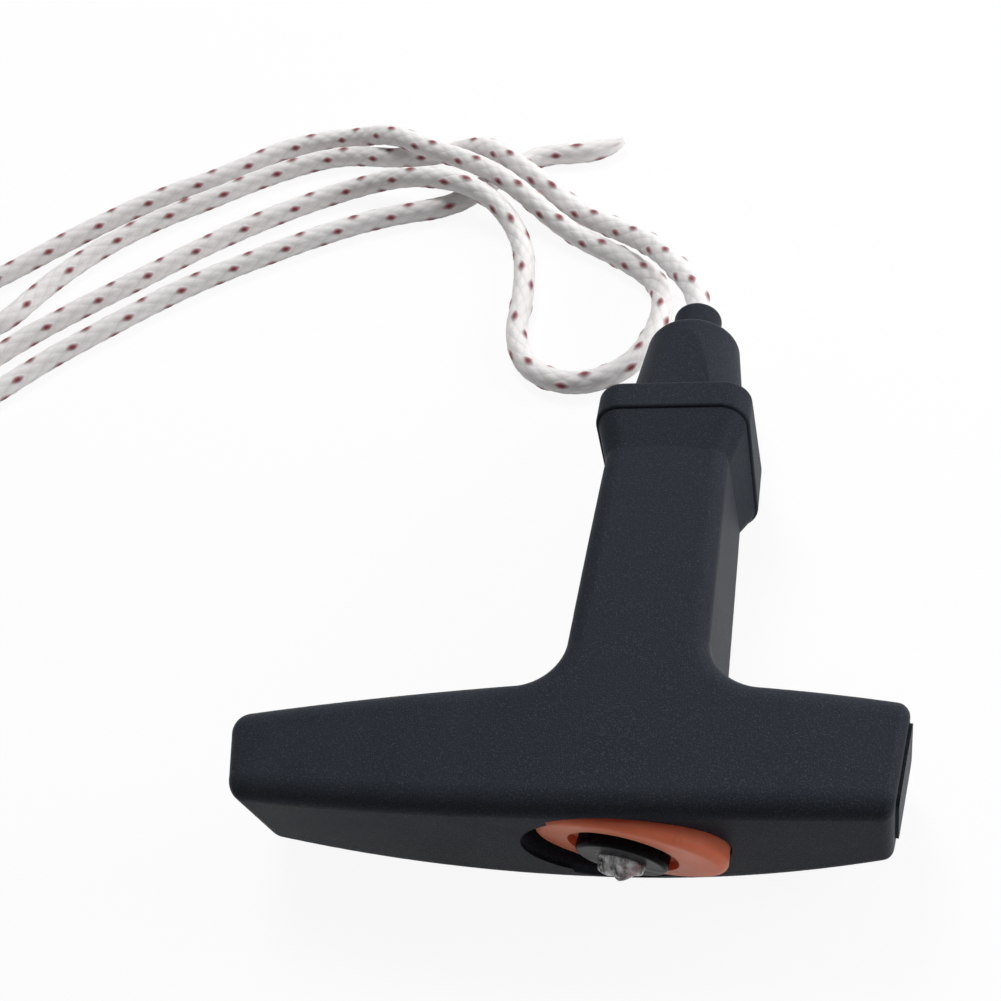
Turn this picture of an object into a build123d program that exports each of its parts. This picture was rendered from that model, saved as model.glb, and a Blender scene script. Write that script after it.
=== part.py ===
from build123d import *
import os
from math import atan, cos, degrees, pi, radians, sin, tan

# Recoil starter handle with its rope, in millimetres.
# The T-grip lies on its back: X runs along the bar, Y along the stem to the nose, Z is up.
# The origin is on the ground under the middle of the grip.

os.makedirs("parts", exist_ok=True)

# Where the stem's axis meets the outer face
stem_x = 11.52
face_y = -49.33

# Bar, seen from above: a long arm to the left and a short arm to the right
long_arm = 61.3
long_end_lean = 4.0
long_end_outer_y = 0.6
long_end_inner_y = 13.8
long_root_y = 19.2
short_arm = 37.6
short_end_lean = 2.4
short_end_outer_y = 4.0
short_end_inner_y = 20.7
short_root_y = 20.1
root_radius = 7.0

# Rounding of the long edges and of the two ends
grip_edge_radius = 3.2
long_end_radius = 2.8
short_end_radius = 1.8

# Thickness of the grip, front to back, and how far each face drops to the bar's ends and to the collar
bar_thickness = 28.0
end_drop = 5.1
stem_drop = 2.1
crest_y = 7.0
stem_drop_y = 62.0

# Stem
stem_root_half = 10.2
stem_top_half = 9.8

# Raised pads on the ends of the bar
pad_border = 0.6
pad_height = 0.45
pad_corner = 1.2

# Collar at the top of the stem, which reaches further down the stem at the back, and its flare
collar_width = 25.2
collar_drop = 0.6
collar_corner = 4.6
collar_y = 68.0
collar_height = 5.4
collar_lean = 5.2
collar_edge = 1.1
flare_length = 9.5
flare_inset = 0.5
flare_corner = 3.6

# Shoulder and nose
shoulder_base_radius = 10.4
shoulder_top_radius = 7.9
shoulder_length = 20.1
shoulder_edge = 2.6
shoulder_flats = 16.8
nose_radius = 4.3
nose_length = 7.1
nose_edge = 1.5
nose_mouth = 0.4

# Rope and its bore
rope_diameter = 4.5
bore_clearance = 0.5

# Oval pocket in the outer face, with a round step behind it
pocket_shift = -0.3
pocket_half_width = 14.6
pocket_half_height = 10.7
pocket_depth = 15.0
pocket_lip = 0.5
step_radius = 7.6
step_depth = 12.0

# Elastomer damper: an oval head in the pocket and a round spigot in the step
damper_clearance = 0.25
damper_gap = 1.3
damper_rise = 0.3
damper_tilt = 6.5
damper_dip = 4.5
damper_edge = 1.2
spigot_length = 10.5
recess_radius = 7.9
recess_depth = 1.3

# Nipple: a disc on a short barrel
nipple_shift = -0.65
nipple_drop = 0.7
nipple_radius = 6.55
nipple_thickness = 2.6
nipple_edge = 0.6
barrel_radius = 3.7
barrel_length = 6.5
barrel_play = 0.9
nipple_clearance = 0.15

# Melted end of the rope
stop_radius = 3.2
stop_height = 3.1
stop_edge = 1.8

rope_radius = rope_diameter / 2
bore_radius = rope_radius + bore_clearance
mid_z = bar_thickness / 2
end_thickness = bar_thickness - 2 * end_drop
stem_thickness = bar_thickness - 2 * stem_drop
collar_thickness = bar_thickness - 2 * collar_drop
shoulder_y = collar_y + collar_height
shoulder_top_y = shoulder_y + shoulder_length
nose_y = shoulder_top_y + nose_length
plan = Plane(origin=(stem_x, face_y, 0))
stem_axis = Axis((stem_x, face_y, mid_z), (0, 1, 0))


def across(distance):
    """The plane across the stem at a distance from the outer face, looking to the nose."""
    return Plane(origin=(stem_x, face_y + distance, mid_z), x_dir=(1, 0, 0), z_dir=(0, 1, 0))


def near(corner):
    """The vertex of the present sketch that lies at a corner."""
    return vertices().sort_by_distance(Vector(*corner))[0]


# Top and bottom of the grip: a lens along the bar, bent down gently towards the nose
bend_radius = (stem_drop_y - crest_y) ** 2 / (2 * stem_drop)
bend_lead = degrees(2 * pocket_depth / bend_radius)
bend_angle = bend_lead + degrees(nose_y / bend_radius)
bend_centre = (stem_x, face_y + crest_y, bar_thickness - bend_radius)
bend_plane = Plane(origin=bend_centre, x_dir=(1, 0, 0), z_dir=(0, -1, 0)).rotated((bend_lead, 0, 0))

with BuildPart() as envelope:
    with BuildSketch(bend_plane):
        with BuildLine():
            crown = (0, bend_radius)
            long_slope = TangentArc(crown, (-long_arm, bend_radius - end_drop), tangent=(-1, 0))
            short_slope = TangentArc(crown, (short_arm, bend_radius - end_drop), tangent=(1, 0))
            past_middle = bend_radius - bar_thickness * 0.6
            Polyline(long_slope @ 1, (-long_arm, past_middle), (short_arm, past_middle), short_slope @ 1)
        make_face()
    revolve(axis=Axis(bend_centre, (-1, 0, 0)), revolution_arc=bend_angle)
    mirror(about=Plane.XY.offset(mid_z))

# Shoulder and nose, turned about the stem's axis, with a flat on the front and on the back
with BuildPart() as shoulder:
    with BuildSketch(plan.offset(mid_z)):
        with BuildLine():
            Polyline(
                (0, collar_y),
                (shoulder_base_radius, collar_y),
                (shoulder_base_radius, shoulder_y),
                (shoulder_top_radius, shoulder_top_y),
                (nose_radius, shoulder_top_y),
                (nose_radius, nose_y),
                (0, nose_y),
                (0, collar_y),
            )
        make_face()
        fillet(near((shoulder_top_radius, shoulder_top_y)), radius=shoulder_edge)
        fillet(near((nose_radius, nose_y)), radius=nose_edge)
    revolve(axis=stem_axis)
    with BuildSketch(across(collar_y)):
        Rectangle(2 * shoulder_base_radius, shoulder_flats)
    extrude(amount=nose_y - collar_y, mode=Mode.INTERSECT)

# Collar: a rounded square flange, thicker at the back, whose underside flares out of the stem
collar_angle = atan(collar_lean / collar_thickness)
collar_underside = Plane(
    origin=(stem_x, face_y + collar_y - collar_lean / 2, mid_z),
    x_dir=(1, 0, 0),
    z_dir=(0, -cos(collar_angle), sin(collar_angle)),
)

with BuildPart() as collar:
    with BuildSketch(across(collar_y)):
        RectangleRounded(collar_width, collar_thickness, collar_corner)
    extrude(amount=collar_height)
    extrude(faces().sort_by(Axis.Y)[0], amount=collar_lean)
    split(bisect_by=collar_underside, keep=Keep.BOTTOM)
    fillet(faces().sort_by(Axis.Y)[0].edges(), radius=collar_edge / 2)
    fillet(edges().group_by(Axis.Y)[-1], radius=collar_edge)
    with BuildSketch(across(collar_y - flare_length)):
        RectangleRounded(2 * stem_top_half - flare_inset, stem_thickness - flare_inset, flare_corner)
    with BuildSketch(collar_underside):
        Rectangle(collar_width - 2 * flare_inset, collar_thickness / cos(collar_angle) - 2 * flare_inset)
        fillet(vertices(), radius=collar_corner - flare_inset)
    loft(ruled=True)
    add(shoulder.part)

# The moulded grip: the T seen from above, cut to the lens, with its edges rounded
long_outer = (long_end_lean - long_arm, long_end_outer_y)
short_outer = (short_arm - short_end_lean, short_end_outer_y)
long_inner = (-long_arm, long_end_inner_y)
short_inner = (short_arm, short_end_inner_y)
long_root = (-stem_root_half, long_root_y)
short_root = (stem_root_half, short_root_y)
stem_end = collar_y + collar_height / 2

with BuildPart() as handle_body:
    with BuildSketch(plan):
        with BuildLine():
            ThreePointArc(long_outer, (0, 0), short_outer)
            Polyline(
                short_outer,
                short_inner,
                short_root,
                (stem_top_half, stem_end),
                (-stem_top_half, stem_end),
                long_root,
                long_inner,
                long_outer,
            )
        make_face()
        for root in (long_root, short_root):
            fillet(near(root), radius=root_radius)
    extrude(amount=bar_thickness)
    add(envelope.part, mode=Mode.INTERSECT)

    ends = faces().filter_by(GeomType.PLANE).sort_by(Axis.X)
    stem_cut = faces().sort_by(Axis.Y)[-1]
    kept_sharp = ends[0].edges() + ends[-1].edges() + stem_cut.edges()
    rim = edges().filter_by(Axis.Z, reverse=True)
    rim = rim.filter_by(lambda e: abs(e.position_at(0.5).X - stem_x) > 0.01)
    fillet(rim.filter_by(lambda e: e not in kept_sharp), radius=grip_edge_radius)
    fillet(faces().filter_by(GeomType.PLANE).sort_by(Axis.X)[0].edges(), radius=long_end_radius)
    fillet(faces().filter_by(GeomType.PLANE).sort_by(Axis.X)[-1].edges(), radius=short_end_radius)

    # A thin pad on each end of the bar
    for outer, inner, side, rounding in (
        (long_outer, long_inner, -1, long_end_radius),
        (short_outer, short_inner, 1, short_end_radius),
    ):
        along = Vector(*inner) - Vector(*outer)
        centre = plan.from_local_coords((Vector(*inner) + Vector(*outer)) / 2) + Vector(0, 0, mid_z)
        inset = 2 * (rounding + pad_border)
        with BuildSketch(Plane(origin=centre, x_dir=along, z_dir=side * along.cross(Vector(0, 0, 1)))):
            RectangleRounded(along.length - inset, end_thickness - inset, pad_corner)
        extrude(amount=pad_height)

    add(collar.part)

    # Pocket, step and bore, one behind the other, from the outer face to the nose
    with BuildSketch(across(-pocket_depth)):
        with Locations((pocket_shift, 0)):
            Ellipse(pocket_half_width, pocket_half_height)
    extrude(amount=2 * pocket_depth, mode=Mode.SUBTRACT)
    for distance, growth in ((-pocket_lip, 2 * pocket_lip), (pocket_lip, 0)):
        with BuildSketch(across(distance)):
            with Locations((pocket_shift, 0)):
                Ellipse(pocket_half_width + growth, pocket_half_height + growth)
    loft(mode=Mode.SUBTRACT)
    with BuildSketch(across(pocket_depth)):
        Circle(step_radius)
    extrude(amount=step_depth, mode=Mode.SUBTRACT)
    with BuildSketch(across(pocket_depth)):
        Circle(bore_radius)
    extrude(amount=nose_y - pocket_depth, mode=Mode.SUBTRACT)
    fillet(edges().filter_by(GeomType.CIRCLE).group_by(Axis.Y)[-1].sort_by(SortBy.RADIUS)[0], radius=nose_mouth)

handle_body.part.label = "handle_body"
export_step(handle_body.part, "parts/handle_body.step")

# Damper: its outer face leans with the nipple, deeper at the long arm's side
damper_shift = pocket_shift + damper_gap / 2
damper_half_width = pocket_half_width - damper_clearance - damper_gap / 2
damper_half_height = pocket_half_height - 2 * damper_clearance
tilt = radians(damper_tilt)
dip = radians(damper_dip)
damper_face = Plane(
    origin=(stem_x + damper_shift, face_y - damper_rise, mid_z),
    x_dir=(cos(tilt), -sin(tilt), 0),
    z_dir=(-sin(tilt) * cos(dip), -cos(tilt) * cos(dip), -sin(dip)),
)
nipple_place = Location((nipple_shift - damper_shift, -nipple_drop))

with BuildPart() as damper:
    with BuildSketch(across(pocket_depth)):
        with Locations((damper_shift, 0)):
            Ellipse(damper_half_width, damper_half_height)
    extrude(amount=-1.5 * pocket_depth)
    split(bisect_by=damper_face, keep=Keep.BOTTOM)
    fillet(faces().sort_by(Axis.Y)[0].edges(), radius=damper_edge)
    with BuildSketch(across(pocket_depth)):
        Circle(step_radius - damper_clearance)
    extrude(amount=spigot_length)
    with BuildSketch(damper_face):
        with Locations(nipple_place):
            Circle(recess_radius)
    extrude(amount=-recess_depth, mode=Mode.SUBTRACT)
    with BuildSketch(across(0)):
        Circle(barrel_radius + barrel_play)
    extrude(amount=pocket_depth + spigot_length, both=True, mode=Mode.SUBTRACT)

damper.part.label = "damper"
export_step(damper.part, "parts/damper.step")

# Nipple, seated on the floor of the damper's recess
with BuildPart() as rope_nipple:
    with BuildSketch(damper_face.offset(-recess_depth)):
        with Locations(nipple_place):
            Circle(nipple_radius)
    extrude(amount=nipple_thickness)
    fillet(faces().sort_by(Axis.Y)[0].edges(), radius=nipple_edge)
    with BuildSketch(damper_face.offset(-recess_depth)):
        with Locations(nipple_place):
            Circle(barrel_radius)
    extrude(amount=-barrel_length)
    with BuildSketch(damper_face):
        with Locations(nipple_place):
            Circle(rope_radius + nipple_clearance)
    extrude(amount=nipple_thickness + barrel_length, both=True, mode=Mode.SUBTRACT)

rope_nipple.part.label = "rope_nipple"
export_step(rope_nipple.part, "parts/rope_nipple.step")

# Melted end, proud of the nipple
nipple_top = damper_face.offset(nipple_thickness - recess_depth)
with BuildPart() as rope_stop:
    with BuildSketch(nipple_top):
        with Locations(nipple_place):
            Circle(stop_radius)
    extrude(amount=stop_height)
    fillet(faces().sort_by(Axis.Y)[0].edges(), radius=stop_edge)

rope_stop.part.label = "rope_stop"
export_step(rope_stop.part, "parts/rope_stop.step")

# Rope: from the melted end through the bore and over the ground to the cut end.
# The points are measured from the stem's axis and the outer face.
ground = rope_radius
over = 7.4
rope_points = [
    (0.65, 11.2, 14.2),
    (0.0, 26.5, 13.8),
    (0.2, 50.0, 13.7),
    (-0.1, 76.0, 13.75),
    (0.0, 95.0, 13.9),
    (-0.3, 106.5, 13.6),
    (-6.0, 116.9, 10.9),
    (-13.2, 128.2, 7.2),
    (-22.8, 138.0, 3.3),
    (-32.9, 145.3, ground),
    (-43.2, 152.9, over),
    (-55.5, 163.8, over),
    (-66.5, 168.5, ground),
    (-79.0, 167.5, ground),
    (-95.5, 171.0, ground),
    (-112.0, 165.5, ground),
    (-126.0, 157.5, ground),
    (-139.0, 151.0, ground),
    (-151.5, 141.0, ground),
    (-160.8, 128.5, ground),
    (-165.9, 117.4, ground),
    (-177.3, 113.3, ground),
    (-189.9, 115.4, ground),
    (-200.5, 107.4, ground),
    (-201.7, 94.5, ground),
    (-193.2, 84.4, ground),
    (-180.4, 83.7, ground),
    (-170.8, 92.5, ground),
    (-166.5, 103.9, ground),
    (-157.5, 113.4, ground),
    (-147.3, 121.7, ground),
    (-133.3, 132.0, ground),
    (-119.4, 142.6, ground),
    (-104.1, 151.6, ground),
    (-88.0, 158.5, ground),
    (-70.5, 155.1, over),
    (-53.6, 149.2, over),
    (-43.5, 138.5, ground),
    (-40.0, 121.5, ground),
    (-40.0, 108.1, ground),
    (-34.6, 98.3, ground),
    (-24.2, 94.8, ground),
    (-14.6, 99.4, ground),
    (-10.2, 109.4, ground),
    (-10.3, 120.4, ground),
    (-18.5, 128.8, ground),
    (-33.2, 138.3, ground),
    (-46.9, 150.0, over),
    (-57.7, 157.9, over),
    (-69.0, 163.5, over),
    (-80.5, 170.5, over),
    (-93.0, 177.0, ground),
    (-109.5, 176.0, ground),
    (-125.0, 166.0, ground),
    (-143.0, 158.5, ground),
    (-159.0, 147.0, ground),
    (-174.9, 133.3, ground),
    (-192.0, 122.0, ground),
    (-206.6, 110.6, ground),
    (-208.3, 92.8, ground),
    (-196.5, 78.5, ground),
    (-178.4, 77.3, ground),
    (-165.8, 88.8, ground),
    (-156.9, 97.5, ground),
    (-147.9, 106.9, ground),
    (-135.6, 116.8, ground),
    (-122.6, 127.0, ground),
    (-107.8, 135.0, ground),
    (-93.0, 142.2, ground),
    (-77.8, 147.6, ground),
    (-61.0, 149.5, ground),
    (-53.0, 159.5, ground),
    (-43.5, 165.6, ground),
    (-33.2, 164.6, ground),
    (-24.8, 166.7, ground),
]
rope_start = nipple_top.from_local_coords(nipple_place.position)
route_points = [rope_start] + [plan.from_local_coords(point) for point in rope_points]

# Each bend is as large as its two runs allow
bend_share = 0.45
bend_radii = []
for before, corner, after in zip(route_points, route_points[1:], route_points[2:]):
    turn = radians((corner - before).get_angle(after - corner))
    shorter = min((corner - before).length, (after - corner).length)
    bend_radii.append(bend_share * shorter / tan(turn / 2))

with BuildPart() as starter_rope:
    with BuildLine() as route:
        FilletPolyline(*route_points, radius=bend_radii)
    with BuildSketch(nipple_top):
        with Locations(nipple_place):
            Circle(rope_radius)
    sweep(path=route.line)

starter_rope.part.label = "starter_rope"
export_step(starter_rope.part, "parts/starter_rope.step")

rope_length = sum(edge.length for edge in route.edges())
print("rope length", round(rope_length, 1), "mm")
print("smallest bends", [round(radius, 1) for radius in sorted(bend_radii)[:6]])
print("rope volume", round(starter_rope.part.volume), "against", round(pi * rope_radius**2 * rope_length))
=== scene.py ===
import math

import bmesh
import bpy
import numpy as np
from mathutils import Matrix, Vector, noise


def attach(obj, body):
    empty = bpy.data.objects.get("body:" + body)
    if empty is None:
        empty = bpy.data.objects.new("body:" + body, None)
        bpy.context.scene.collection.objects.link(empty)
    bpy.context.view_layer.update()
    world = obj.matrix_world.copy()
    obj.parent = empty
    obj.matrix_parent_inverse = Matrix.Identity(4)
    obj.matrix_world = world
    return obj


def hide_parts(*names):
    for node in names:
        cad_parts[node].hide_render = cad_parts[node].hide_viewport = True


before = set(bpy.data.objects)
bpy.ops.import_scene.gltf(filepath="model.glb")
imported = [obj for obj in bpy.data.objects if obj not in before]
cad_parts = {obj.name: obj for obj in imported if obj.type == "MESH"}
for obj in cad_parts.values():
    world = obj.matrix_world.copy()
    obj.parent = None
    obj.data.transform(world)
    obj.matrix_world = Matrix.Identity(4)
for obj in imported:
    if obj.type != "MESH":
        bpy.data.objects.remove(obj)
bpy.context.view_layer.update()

# Recoil starter handle with its rope, in metres, in the frame of the solids.

# Where the stem's axis meets the outer face
PLAN = Vector((0.01152, -0.04933, 0.0))

# Nipple: its lean sideways and down, and the middle of its outer face
NIPPLE_TILT = math.radians(6.5)
NIPPLE_DIP = math.radians(4.5)
NIPPLE_SIDE = Vector((math.cos(NIPPLE_TILT), -math.sin(NIPPLE_TILT), 0.0))
NIPPLE_UP = Vector((0.0, -math.sin(NIPPLE_DIP), math.cos(NIPPLE_DIP)))
NIPPLE_OUT = NIPPLE_SIDE.cross(NIPPLE_UP).normalized()
NIPPLE_FACE = PLAN + Vector((-0.000784, -0.00142, 0.0132))

# Rope, with the heights of its middle line on the ground and where it passes over itself
ROPE_RADIUS = 0.00225
GROUND = ROPE_RADIUS
OVER = 0.0074

# Rings that the rope's surface is made of, and how far the lowest stay off the ground
RING_STEP = 0.0004
RING_SIDES = 72
RING_ANGLES = np.linspace(0.0, 2 * math.pi, RING_SIDES, endpoint=False)
GROUND_GAP = 0.00003

# Braid: yarns each way, plies in a yarn, tracers, length of one turn, how far the yarns stand out, which
# share of that lies under the rope's radius, and how much further the tracers stand out
YARNS = 6
PLIES = 3
TRACERS = 2
BRAID_TURN = 0.0266
YARN_RELIEF = 0.0002
YARN_SINK = 0.75
TRACER_RELIEF = 0.00014

# Unevenness of the rope: its thickness and its twist, with the waves of each in a metre
THICKNESS_DRIFT = 0.03
THICKNESS_WAVES = 60.0
THICKNESS_SEED = (0.0, 7.0)
TWIST_DRIFT = 0.35
TWIST_WAVES = 9.0
TWIST_SEED = (3.0, 0.0)

# Cut end of the rope, thinned by a flame: its length, curve, thinnest share, lean and thinnest height,
# and the share of it that is sealed and how grey that is
TAPER_LENGTH = 0.0085
TAPER_CURVE = 1.6
TIP_SHARE = 0.12
TIP_LEAN = 0.85
TIP_FLATNESS = 0.25
SEALED_SHARE = 0.35
SEALED_GREY = 0.8

# Melted blob on the nipple: its size, how far it sinks in and is squashed, and its lumps and pleats
BLOB_RADIUS = 0.003325
BLOB_HEIGHT = 0.0023
BLOB_SINK = 0.0002
BLOB_SQUASH = 0.75
BLOB_RIM = -0.08
LUMP_SCALE = 1.5
LUMP_SEED = Vector((3.1, 0.4, 1.2))
LUMP_RELIEF = 0.12
PLEAT_WAVES = 4.3
PLEAT_WANDER = 0.9
PLEAT_START = 0.6
PLEAT_SPREAD = 0.05
PLEAT_RISE = 0.15

# Floor and world: how much of their white is only there to be looked at, and the world's light by direction
FLOOR_SIZE = 30.0
FLOOR_WHITE = 0.9
FLOOR_GLOW = 0.92
WORLD_SEEN = 0.94
LIGHT_IN_FRONT = 0.05
LIGHT_BEHIND = 0.38

# Camera, as fitted to the photograph, in pixels of its 1001-pixel frame
PHOTO_SIZE = 1001
FOCAL_PIXELS = 1200.0
CENTRE_PIXEL = (590.9, 540.7)
SENSOR = 36.0
CAMERA_PLACE = Vector((0.04663, -0.10445, 0.17029))
CAMERA_RIGHT = Vector((0.9693, 0.1470, -0.1972))
CAMERA_BACK = Vector((0.2458, -0.5444, 0.8020))


# Camera
def make_camera():
    data = bpy.data.cameras.new("camera")
    data.sensor_width = SENSOR
    data.lens = FOCAL_PIXELS / PHOTO_SIZE * SENSOR
    data.shift_x = (PHOTO_SIZE / 2 - CENTRE_PIXEL[0]) / PHOTO_SIZE
    data.shift_y = (CENTRE_PIXEL[1] - PHOTO_SIZE / 2) / PHOTO_SIZE
    data.clip_start = 0.01
    back = CAMERA_BACK.normalized()
    right = (CAMERA_RIGHT - CAMERA_RIGHT.dot(back) * back).normalized()
    up = back.cross(right)
    camera = bpy.data.objects.new("camera", data)
    turn = Matrix((right, up, back)).transposed().to_4x4()
    camera.matrix_world = Matrix.Translation(CAMERA_PLACE) @ turn
    bpy.context.collection.objects.link(camera)
    bpy.context.scene.camera = camera


# Node helpers, which take a world as well as a material
def new_material(name):
    material = bpy.data.materials.new(name)
    material.use_nodes = True
    material.node_tree.nodes.clear()
    return material


def add_node(material, kind, settings=None, **inputs):
    """A node with its settings and inputs, each a value or a socket. The input i2 is the third one."""
    node = material.node_tree.nodes.new(kind)
    for name, value in (settings or {}).items():
        setattr(node, name, value)
    for name, value in inputs.items():
        socket = node.inputs[int(name[1:])] if name[1:].isdigit() else node.inputs[name.replace("_", " ")]
        if isinstance(value, bpy.types.NodeSocket):
            material.node_tree.links.new(value, socket)
        else:
            socket.default_value = value
    return node


def object_noise(material, scale, detail=3.0, roughness=0.5, stretch=(1, 1, 1)):
    """A noise in the object's own coordinates; scale is in features per metre."""
    place = add_node(material, "ShaderNodeTexCoord").outputs["Object"]
    stretched = add_node(material, "ShaderNodeMapping", Vector=place, Scale=stretch).outputs[0]
    return add_node(
        material, "ShaderNodeTexNoise", Vector=stretched, Scale=scale, Detail=detail, Roughness=roughness
    ).outputs["Fac"]


def spread(material, value, low, high, to_low, to_high):
    """Maps a value from one range to another, and holds it there."""
    return add_node(
        material,
        "ShaderNodeMapRange",
        Value=value,
        From_Min=low,
        From_Max=high,
        To_Min=to_low,
        To_Max=to_high,
    ).outputs[0]


def calculate(material, operation, first, second):
    return add_node(material, "ShaderNodeMath", {"operation": operation}, i0=first, i1=second).outputs[0]


def blend_colours(material, factor, first, second):
    return add_node(
        material, "ShaderNodeMix", {"data_type": "RGBA"}, i0=factor, i6=first, i7=second
    ).outputs[2]


def bump(material, height, strength, distance, normal=None):
    inputs = {"Height": height, "Strength": strength, "Distance": distance}
    if normal is not None:
        inputs["Normal"] = normal
    return add_node(material, "ShaderNodeBump", **inputs).outputs[0]


def surface(material, **inputs):
    """Gives the material its shader, and returns it."""
    shader = add_node(material, "ShaderNodeBsdfPrincipled", **inputs)
    add_node(material, "ShaderNodeOutputMaterial", Surface=shader.outputs[0])
    return material


# Materials
def grip_plastic():
    """Dark blue-grey moulded plastic with a fine spark-eroded grain, rubbed smoother in patches."""
    dark = (0.0186, 0.0218, 0.0282, 1)
    pale = (0.0285, 0.0328, 0.0415, 1)
    flow_mark = (0.037, 0.043, 0.054, 1)
    speck = (0.07, 0.077, 0.091, 1)
    material = new_material("grip_plastic")
    grain = object_noise(material, 5200.0, 1.0)
    coarse = object_noise(material, 900.0, 3.0, 0.6)
    patches = object_noise(material, 42.0, 3.0, 0.55)
    flow = object_noise(material, 60.0, 2.0, 0.5, (1.0, 0.12, 1.0))
    colour = blend_colours(material, patches, dark, pale)
    colour = blend_colours(material, spread(material, flow, 0.5, 0.75, 0.0, 0.35), colour, flow_mark)
    colour = blend_colours(material, spread(material, grain, 0.52, 0.78, 0.0, 0.6), colour, speck)
    rubbed = spread(material, patches, 0.38, 0.68, 0.35, 1.0)
    grained = bump(material, grain, rubbed, 0.00012)
    return surface(
        material,
        Base_Color=colour,
        Roughness=spread(material, patches, 0.35, 0.7, 0.42, 0.36),
        Specular_IOR_Level=0.012,
        Normal=bump(material, coarse, 0.2, 0.0001, grained),
    )


def damper_elastomer():
    """Smooth orange elastomer, mottled and a little soiled."""
    deep = (0.86, 0.18, 0.085, 1)
    pale = (0.93, 0.27, 0.15, 1)
    soiled = (0.30, 0.07, 0.04, 1)
    material = new_material("damper_elastomer")
    mottle = object_noise(material, 160.0, 3.0, 0.6)
    fine = object_noise(material, 1400.0, 2.0)
    dirt = spread(material, object_noise(material, 380.0, 4.0, 0.7), 0.6, 0.78, 0.0, 0.3)
    colour = blend_colours(material, mottle, deep, pale)
    return surface(
        material,
        Base_Color=blend_colours(material, dirt, colour, soiled),
        Roughness=spread(material, mottle, 0.3, 0.7, 0.5, 0.4),
        Specular_IOR_Level=0.16,
        Subsurface_Weight=0.6,
        Subsurface_Radius=(1.0, 0.25, 0.12),
        Subsurface_Scale=0.004,
        Normal=bump(material, fine, 0.25, 0.00005),
    )


def nipple_plastic():
    """Smooth black plastic, greyed by wear on its outer face and scuffed."""
    black = (0.004, 0.004, 0.005, 1)
    worn = (0.02, 0.0215, 0.024, 1)
    scuffed = (0.05, 0.053, 0.058, 1)
    material = new_material("nipple_plastic")
    outward = add_node(
        material,
        "ShaderNodeVectorMath",
        {"operation": "DOT_PRODUCT"},
        i0=add_node(material, "ShaderNodeTexCoord").outputs["Normal"],
        i1=tuple(NIPPLE_OUT),
    ).outputs["Value"]
    on_face = spread(material, outward, 0.75, 0.98, 0.0, 1.0)
    patches = spread(material, object_noise(material, 110.0, 2.0), 0.35, 0.62, 0.35, 1.0)
    scuffs = object_noise(material, 700.0, 4.0, 0.65, (0.3, 1.0, 1.0))
    colour = blend_colours(material, calculate(material, "MULTIPLY", patches, on_face), black, worn)
    return surface(
        material,
        Base_Color=blend_colours(material, spread(material, scuffs, 0.52, 0.75, 0.0, 0.5), colour, scuffed),
        Roughness=spread(material, scuffs, 0.35, 0.7, 0.24, 0.45),
        Specular_IOR_Level=0.025,
        Normal=bump(material, scuffs, 0.3, 0.00005),
    )


def rope_braid():
    """Off-white braided yarn with dark red tracers and painted shade in the grooves between the yarns; the
    weave itself is in the rope's mesh.
    """
    warm_white = (0.80, 0.775, 0.765, 1)
    white = (0.88, 0.86, 0.855, 1)
    painted_groove_shade = (0.50, 0.49, 0.49, 1)
    dark_red = (0.15, 0.012, 0.022, 1)
    pale_red = (0.28, 0.045, 0.06, 1)
    material = new_material("rope_braid")
    tracer = add_node(material, "ShaderNodeAttribute", {"attribute_name": "tracer"}).outputs["Fac"]
    groove_shade_and_seal = add_node(material, "ShaderNodeAttribute", {"attribute_name": "groove_shade_and_seal"}).outputs["Fac"]
    fibres = object_noise(material, 3200.0, 3.0, 0.65)
    colour = blend_colours(material, object_noise(material, 70.0, 3.0), warm_white, white)
    # Painted shade: the grooves between the yarns are greyed, and the sealed end takes its real grey
    colour = blend_colours(material, spread(material, groove_shade_and_seal, 0.0, 1.0, 0.0, 0.4), colour, painted_groove_shade)
    red = blend_colours(material, fibres, dark_red, pale_red)
    return surface(
        material,
        Base_Color=blend_colours(material, spread(material, tracer, 0.25, 0.95, 0.0, 1.0), colour, red),
        Roughness=0.62,
        Sheen_Weight=0.25,
        Sheen_Roughness=0.4,
        Specular_IOR_Level=0.35,
        Normal=bump(material, fibres, 0.5, 0.00012),
    )


def rope_melt():
    """Rope fibre melted with a flame: glossy, clear in places, with white streaks and a red tint."""
    clear_grey = (0.11, 0.11, 0.115, 1)
    streak_white = (0.98, 0.98, 0.98, 1)
    tracer_red = (0.36, 0.06, 0.07, 1)
    material = new_material("rope_melt")
    clouds = object_noise(material, 800.0, 4.0, 0.7, (1.0, 0.35, 0.35))
    streaks = spread(material, clouds, 0.46, 0.6, 0.0, 1.0)
    tint = spread(material, object_noise(material, 330.0, 2.0), 0.57, 0.68, 0.0, 0.65)
    colour = blend_colours(material, streaks, clear_grey, streak_white)
    return surface(
        material,
        Base_Color=blend_colours(material, tint, colour, tracer_red),
        Roughness=spread(material, clouds, 0.3, 0.7, 0.18, 0.4),
        Transmission_Weight=spread(material, clouds, 0.46, 0.6, 0.8, 0.1),
        Normal=bump(material, clouds, 0.4, 0.0002),
    )


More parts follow.
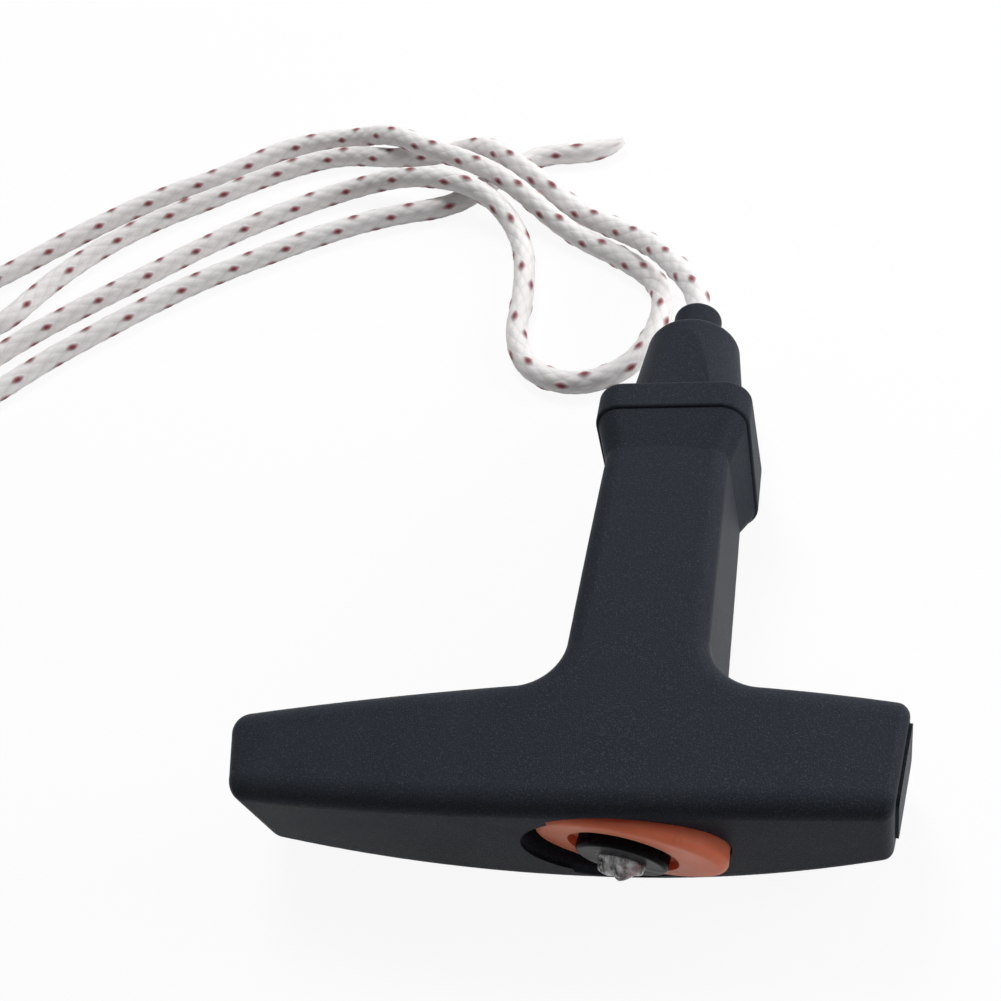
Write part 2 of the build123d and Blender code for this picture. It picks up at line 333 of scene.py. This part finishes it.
# Route of the rope's middle line to its cut end, measured from where the stem's axis meets the outer face
ROUTE = [
    (0.00065, 0.0112, 0.0142),
    (0.0, 0.0265, 0.0138),
    (0.0002, 0.05, 0.0137),
    (-0.0001, 0.076, 0.01375),
    (0.0, 0.095, 0.0139),
    (-0.0003, 0.1065, 0.0136),
    (-0.006, 0.1169, 0.0109),
    (-0.0132, 0.1282, 0.0072),
    (-0.0228, 0.138, 0.0033),
    (-0.0329, 0.1453, GROUND),
    (-0.0432, 0.1529, OVER),
    (-0.0555, 0.1638, OVER),
    (-0.0665, 0.1685, GROUND),
    (-0.079, 0.1675, GROUND),
    (-0.0955, 0.171, GROUND),
    (-0.112, 0.1655, GROUND),
    (-0.126, 0.1575, GROUND),
    (-0.139, 0.151, GROUND),
    (-0.1515, 0.141, GROUND),
    (-0.1608, 0.1285, GROUND),
    (-0.1659, 0.1174, GROUND),
    (-0.1773, 0.1133, GROUND),
    (-0.1899, 0.1154, GROUND),
    (-0.2005, 0.1074, GROUND),
    (-0.2017, 0.0945, GROUND),
    (-0.1932, 0.0844, GROUND),
    (-0.1804, 0.0837, GROUND),
    (-0.1708, 0.0925, GROUND),
    (-0.1665, 0.1039, GROUND),
    (-0.1575, 0.1134, GROUND),
    (-0.1473, 0.1217, GROUND),
    (-0.1333, 0.132, GROUND),
    (-0.1194, 0.1426, GROUND),
    (-0.1041, 0.1516, GROUND),
    (-0.088, 0.1585, GROUND),
    (-0.0705, 0.1551, OVER),
    (-0.0536, 0.1492, OVER),
    (-0.0435, 0.1385, GROUND),
    (-0.04, 0.1215, GROUND),
    (-0.04, 0.1081, GROUND),
    (-0.0346, 0.0983, GROUND),
    (-0.0242, 0.0948, GROUND),
    (-0.0146, 0.0994, GROUND),
    (-0.0102, 0.1094, GROUND),
    (-0.0103, 0.1204, GROUND),
    (-0.0185, 0.1288, GROUND),
    (-0.0332, 0.1383, GROUND),
    (-0.0469, 0.15, OVER),
    (-0.0577, 0.1579, OVER),
    (-0.069, 0.1635, OVER),
    (-0.0805, 0.1705, OVER),
    (-0.093, 0.177, GROUND),
    (-0.1095, 0.176, GROUND),
    (-0.125, 0.166, GROUND),
    (-0.143, 0.1585, GROUND),
    (-0.159, 0.147, GROUND),
    (-0.1749, 0.1333, GROUND),
    (-0.192, 0.122, GROUND),
    (-0.2066, 0.1106, GROUND),
    (-0.2083, 0.0928, GROUND),
    (-0.1965, 0.0785, GROUND),
    (-0.1784, 0.0773, GROUND),
    (-0.1658, 0.0888, GROUND),
    (-0.1569, 0.0975, GROUND),
    (-0.1479, 0.1069, GROUND),
    (-0.1356, 0.1168, GROUND),
    (-0.1226, 0.127, GROUND),
    (-0.1078, 0.135, GROUND),
    (-0.093, 0.1422, GROUND),
    (-0.0778, 0.1476, GROUND),
    (-0.061, 0.1495, GROUND),
    (-0.053, 0.1595, GROUND),
    (-0.0435, 0.1656, GROUND),
    (-0.0332, 0.1646, GROUND),
    (-0.0248, 0.1667, GROUND),
]


def add_piece(name, mesh, material, node):
    """A piece that stands for a node: it takes a material and hangs on the root body, and the node's solid
    is hidden.
    """
    piece = bpy.data.objects.new(name, mesh)
    bpy.context.collection.objects.link(piece)
    mesh.materials.append(material)
    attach(piece, "root")
    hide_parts(node)
    return piece


def rope_line():
    """The points of the smooth line through the route, read from a curve without thickness."""
    curve = bpy.data.curves.new("rope_line", "CURVE")
    curve.dimensions = "3D"
    curve.resolution_u = 24
    spline = curve.splines.new("NURBS")
    points = [NIPPLE_FACE] + [PLAN + Vector(point) for point in ROUTE]
    spline.points.add(len(points) - 1)
    for control, point in zip(spline.points, points):
        control.co = (*point, 1.0)
    spline.order_u = 3
    spline.use_endpoint_u = True
    guide = bpy.data.objects.new("rope_line", curve)
    mesh = bpy.data.meshes.new_from_object(guide)
    line = np.empty(len(mesh.vertices) * 3)
    mesh.vertices.foreach_get("co", line)
    bpy.data.objects.remove(guide)
    bpy.data.curves.remove(curve)
    bpy.data.meshes.remove(mesh)
    return line.reshape(-1, 3)


def even_points(line, step):
    """Points a step apart along a line, with the distance of each."""
    runs = np.linalg.norm(np.diff(line, axis=0), axis=1)
    along = np.concatenate([[0.0], np.cumsum(runs)])
    count = int(round(along[-1] / step)) + 1
    distance = np.linspace(0.0, along[-1], count)
    points = np.stack([np.interp(distance, along, line[:, axis]) for axis in range(3)], axis=1)
    return points, distance


def rope_frames(points):
    """Side and upward directions of each ring; the rope never runs straight up."""
    ahead = np.gradient(points, axis=0)
    ahead /= np.linalg.norm(ahead, axis=1)[:, None]
    side = np.cross(ahead, np.array([0.0, 0.0, 1.0]))
    side /= np.linalg.norm(side, axis=1)[:, None]
    up = np.cross(side, ahead)
    return side, up


def braid(turns_round, turns_along):
    """Height and tracer of the weave at places given in turns round and along the rope."""
    right_hand = YARNS * (turns_round - turns_along)
    left_hand = YARNS * (turns_round + turns_along)
    right_on_top = (np.floor(right_hand) + np.floor(left_hand)) % 2 < 1
    across = np.where(right_on_top, right_hand, left_hand) % 1.0
    along = np.where(right_on_top, left_hand, right_hand) % 1.0
    yarn = np.sin(math.pi * across) ** 0.5
    ply = np.abs(np.sin(PLIES * math.pi * across)) ** 0.7
    arch = np.sin(math.pi * along) ** 0.6
    height = yarn * (0.6 + 0.4 * ply) * (0.3 + 0.7 * arch)
    tracer = right_on_top & (np.floor(right_hand) % (YARNS // TRACERS) == 0)
    return height, tracer * yarn * arch


def drift(distance, waves, seed):
    """A slowly changing value along the rope."""
    return np.array([noise.noise(Vector((place * waves, *seed))) for place in distance])


def rope_surface(distance):
    """Radius of each point of each ring, with the height and the tracer of the weave there."""
    turns_round = np.broadcast_to(RING_ANGLES / (2 * math.pi), (len(distance), RING_SIDES))
    twist = TWIST_DRIFT * drift(distance, TWIST_WAVES, TWIST_SEED)
    height, tracer = braid(turns_round, (distance / BRAID_TURN + twist)[:, None])
    radius = ROPE_RADIUS - YARN_SINK * YARN_RELIEF + YARN_RELIEF * height + TRACER_RELIEF * tracer
    swell = THICKNESS_DRIFT * drift(distance, THICKNESS_WAVES, THICKNESS_SEED)
    return radius * (1.0 + swell[:, None]), height, tracer


def ring_places(points, radius, to_end):
    """Where the rings' points lie. The cut end thins towards one side, as the flame left it."""
    side, up = rope_frames(points)
    taper = np.clip(to_end / TAPER_LENGTH, 0.0, 1.0)
    thin = np.sqrt(np.clip(1.0 - (1.0 - taper) ** TAPER_CURVE, 0.0, 1.0))
    thin = np.maximum(thin, TIP_SHARE)[:, None]
    lean = (1.0 - thin) * ROPE_RADIUS * TIP_LEAN
    across = radius * np.cos(RING_ANGLES)[None, :] * thin - lean
    above = radius * np.sin(RING_ANGLES)[None, :] * (TIP_FLATNESS + (1.0 - TIP_FLATNESS) * thin)
    places = points[:, None, :] + across[..., None] * side[:, None, :] + above[..., None] * up[:, None, :]
    places[..., 2] = np.maximum(places[..., 2], GROUND_GAP)
    return places


def tube_mesh(name, places):
    """A tube through rings of points, closed at both ends."""
    count = len(places)
    ring = np.arange(count * RING_SIDES).reshape(count, RING_SIDES)
    following = np.roll(ring, -1, axis=1)
    quads = np.stack([ring[:-1], ring[1:], following[1:], following[:-1]], axis=-1).reshape(-1, 4)
    faces = quads.tolist() + [ring[0].tolist(), ring[-1][::-1].tolist()]
    mesh = bpy.data.meshes.new(name)
    mesh.from_pydata(places.reshape(-1, 3).tolist(), [], faces)
    mesh.shade_smooth()
    return mesh


def make_rope():
    """The braided rope and the line that it follows."""
    line = rope_line()
    points, distance = even_points(line, RING_STEP)
    to_end = distance[-1] - distance
    radius, height, tracer = rope_surface(distance)
    mesh = tube_mesh("rope", ring_places(points, radius, to_end))
    sealed = np.clip(1.0 - to_end / (SEALED_SHARE * TAPER_LENGTH), 0.0, 1.0)[:, None]
    marks = {
        "tracer": tracer * (1.0 - sealed),
        # Painted shade in the grooves, darkest where the weave is lowest, joined with the real grey of the
        # sealed end
        "groove_shade_and_seal": np.maximum((1.0 - height) ** 2, SEALED_GREY * sealed),
    }
    for name, values in marks.items():
        mark = mesh.attributes.new(name, "FLOAT", "POINT")
        mark.data.foreach_set("value", values.astype(np.float32).ravel())
    return add_piece("rope", mesh, rope_braid(), "starter_rope"), line


def make_blob():
    """The melted end: a low ragged dome with folds, standing on the nipple."""
    foot = NIPPLE_FACE - NIPPLE_UP * BLOB_SINK
    form = bmesh.new()
    bmesh.ops.create_icosphere(form, subdivisions=5, radius=1.0)
    for vertex in form.verts:
        place = vertex.co.copy()
        lumps = noise.fractal(place * LUMP_SCALE + LUMP_SEED, 0.9, 2.1, 3)
        pleat = abs(math.sin(PLEAT_WAVES * place.x + PLEAT_WANDER * lumps + PLEAT_START))
        reach = BLOB_RADIUS * (1.0 + LUMP_RELIEF * lumps + PLEAT_SPREAD * pleat)
        rise = BLOB_HEIGHT * (1.0 - PLEAT_RISE + LUMP_RELIEF * lumps + PLEAT_RISE * pleat)
        sideways = NIPPLE_SIDE * place.x * reach
        upward = NIPPLE_UP * BLOB_SQUASH * place.y * reach
        vertex.co = foot + sideways + upward + NIPPLE_OUT * max(place.z, BLOB_RIM) * rise
    mesh = bpy.data.meshes.new("melted_end")
    form.to_mesh(mesh)
    form.free()
    mesh.shade_smooth()
    return add_piece("melted_end", mesh, rope_melt(), "rope_stop")


def dress_solids():
    """Gives each solid that stays its own material."""
    for node, material in (
        ("handle_body", grip_plastic()),
        ("damper", damper_elastomer()),
        ("rope_nipple", nipple_plastic()),
    ):
        solid = bpy.data.objects[node]
        solid.data.materials.clear()
        solid.data.materials.append(material)


# Floor, world and lamps
def looked_at(material):
    """1 on rays from the camera, in reflections and through clear matter, and otherwise 0."""
    path = add_node(material, "ShaderNodeLightPath")
    seen = path.outputs["Is Camera Ray"]
    for name in ("Is Glossy Ray", "Is Transmission Ray"):
        seen = calculate(material, "MAXIMUM", seen, path.outputs[name])
    return seen


def make_floor():
    """A white floor that keeps the shadow; most of its white is only there to be looked at."""
    bpy.ops.mesh.primitive_plane_add(size=FLOOR_SIZE, location=(0, 0, 0))
    floor = bpy.context.object
    floor.name = "floor"
    material = new_material("floor")
    matt = add_node(material, "ShaderNodeBsdfDiffuse", Color=(FLOOR_WHITE, FLOOR_WHITE, FLOOR_WHITE, 1))
    glow = add_node(material, "ShaderNodeEmission", Color=(1, 1, 1, 1), Strength=1.0)
    share = calculate(material, "MULTIPLY", looked_at(material), FLOOR_GLOW)
    mixed = add_node(material, "ShaderNodeMixShader", i0=share, i1=matt.outputs[0], i2=glow.outputs[0])
    add_node(material, "ShaderNodeOutputMaterial", Surface=mixed.outputs[0])
    floor.data.materials.append(material)


def make_world():
    """As pale as the far floor where it is looked at, and otherwise a soft light, stronger from behind."""
    world = bpy.data.worlds.new("studio")
    bpy.context.scene.world = world
    world.use_nodes = True
    world.node_tree.nodes.clear()
    direction = add_node(world, "ShaderNodeTexCoord").outputs["Generated"]
    behind = add_node(world, "ShaderNodeSeparateXYZ", Vector=direction).outputs["Y"]
    soft = spread(world, behind, -1.0, 1.0, LIGHT_IN_FRONT, LIGHT_BEHIND)
    strength = spread(world, looked_at(world), 0.0, 1.0, soft, WORLD_SEEN)
    light = add_node(world, "ShaderNodeBackground", Color=(1, 1, 1, 1), Strength=strength)
    add_node(world, "ShaderNodeOutputWorld", Surface=light.outputs[0])


def add_lamp(name, place, size, power):
    """A square lamp that faces the handle."""
    data = bpy.data.lights.new(name, "AREA")
    data.size = size
    data.energy = power
    lamp = bpy.data.objects.new(name, data)
    lamp.location = place
    lamp.rotation_euler = (-Vector(place)).to_track_quat("-Z", "Y").to_euler()
    bpy.context.collection.objects.link(lamp)


make_camera()
make_world()
make_floor()
add_lamp("key", (-0.14, 0.5, 0.75), 0.3, 4.8)
add_lamp("side", (0.55, 0.2, 0.22), 0.35, 3.0)
bpy.context.scene.view_settings.view_transform = "Standard"

dress_solids()
blob = make_blob()
rope, line = make_rope()
